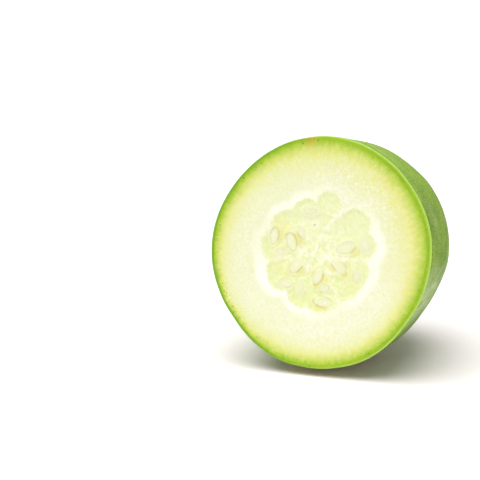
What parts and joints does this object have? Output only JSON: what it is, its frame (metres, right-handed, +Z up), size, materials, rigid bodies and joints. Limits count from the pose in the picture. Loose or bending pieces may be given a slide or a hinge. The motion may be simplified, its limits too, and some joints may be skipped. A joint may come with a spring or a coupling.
{
  "type": "cut wax gourd",
  "caption": "Round end of a wax gourd cut straight across, lying on its side: green skin, pale flesh, a lobed core with loose seeds, and a dry stalk end at the far tip",
  "frame": {"origin": "centre of the overall box's underside, on the surface that the gourd lies on", "axes": "+Z up; the cut face looks along -Y and is tipped 6 degrees up, and the round end with the stalk points along +Y; +X to the right of someone facing the cut"},
  "size_m": [0.1594, 0.166, 0.166],
  "materials": {
    "gourd": "satin green skin over pale, moist flesh",
    "seed": "moist, cream",
    "stalk": "dry and corky"
  },
  "bodies": {
    "root": {"gourd_body": "gourd", "seed_01": "seed", "seed_02": "seed", "seed_03": "seed", "seed_04": "seed", "seed_05": "seed", "seed_06": "seed", "seed_07": "seed", "seed_08": "seed", "seed_09": "seed", "seed_10": "seed", "seed_11": "seed", "seed_12": "seed", "seed_13": "seed", "seed_14": "seed", "seed_15": "seed", "stalk_stub": "stalk"}
  },
  "joints": []
}
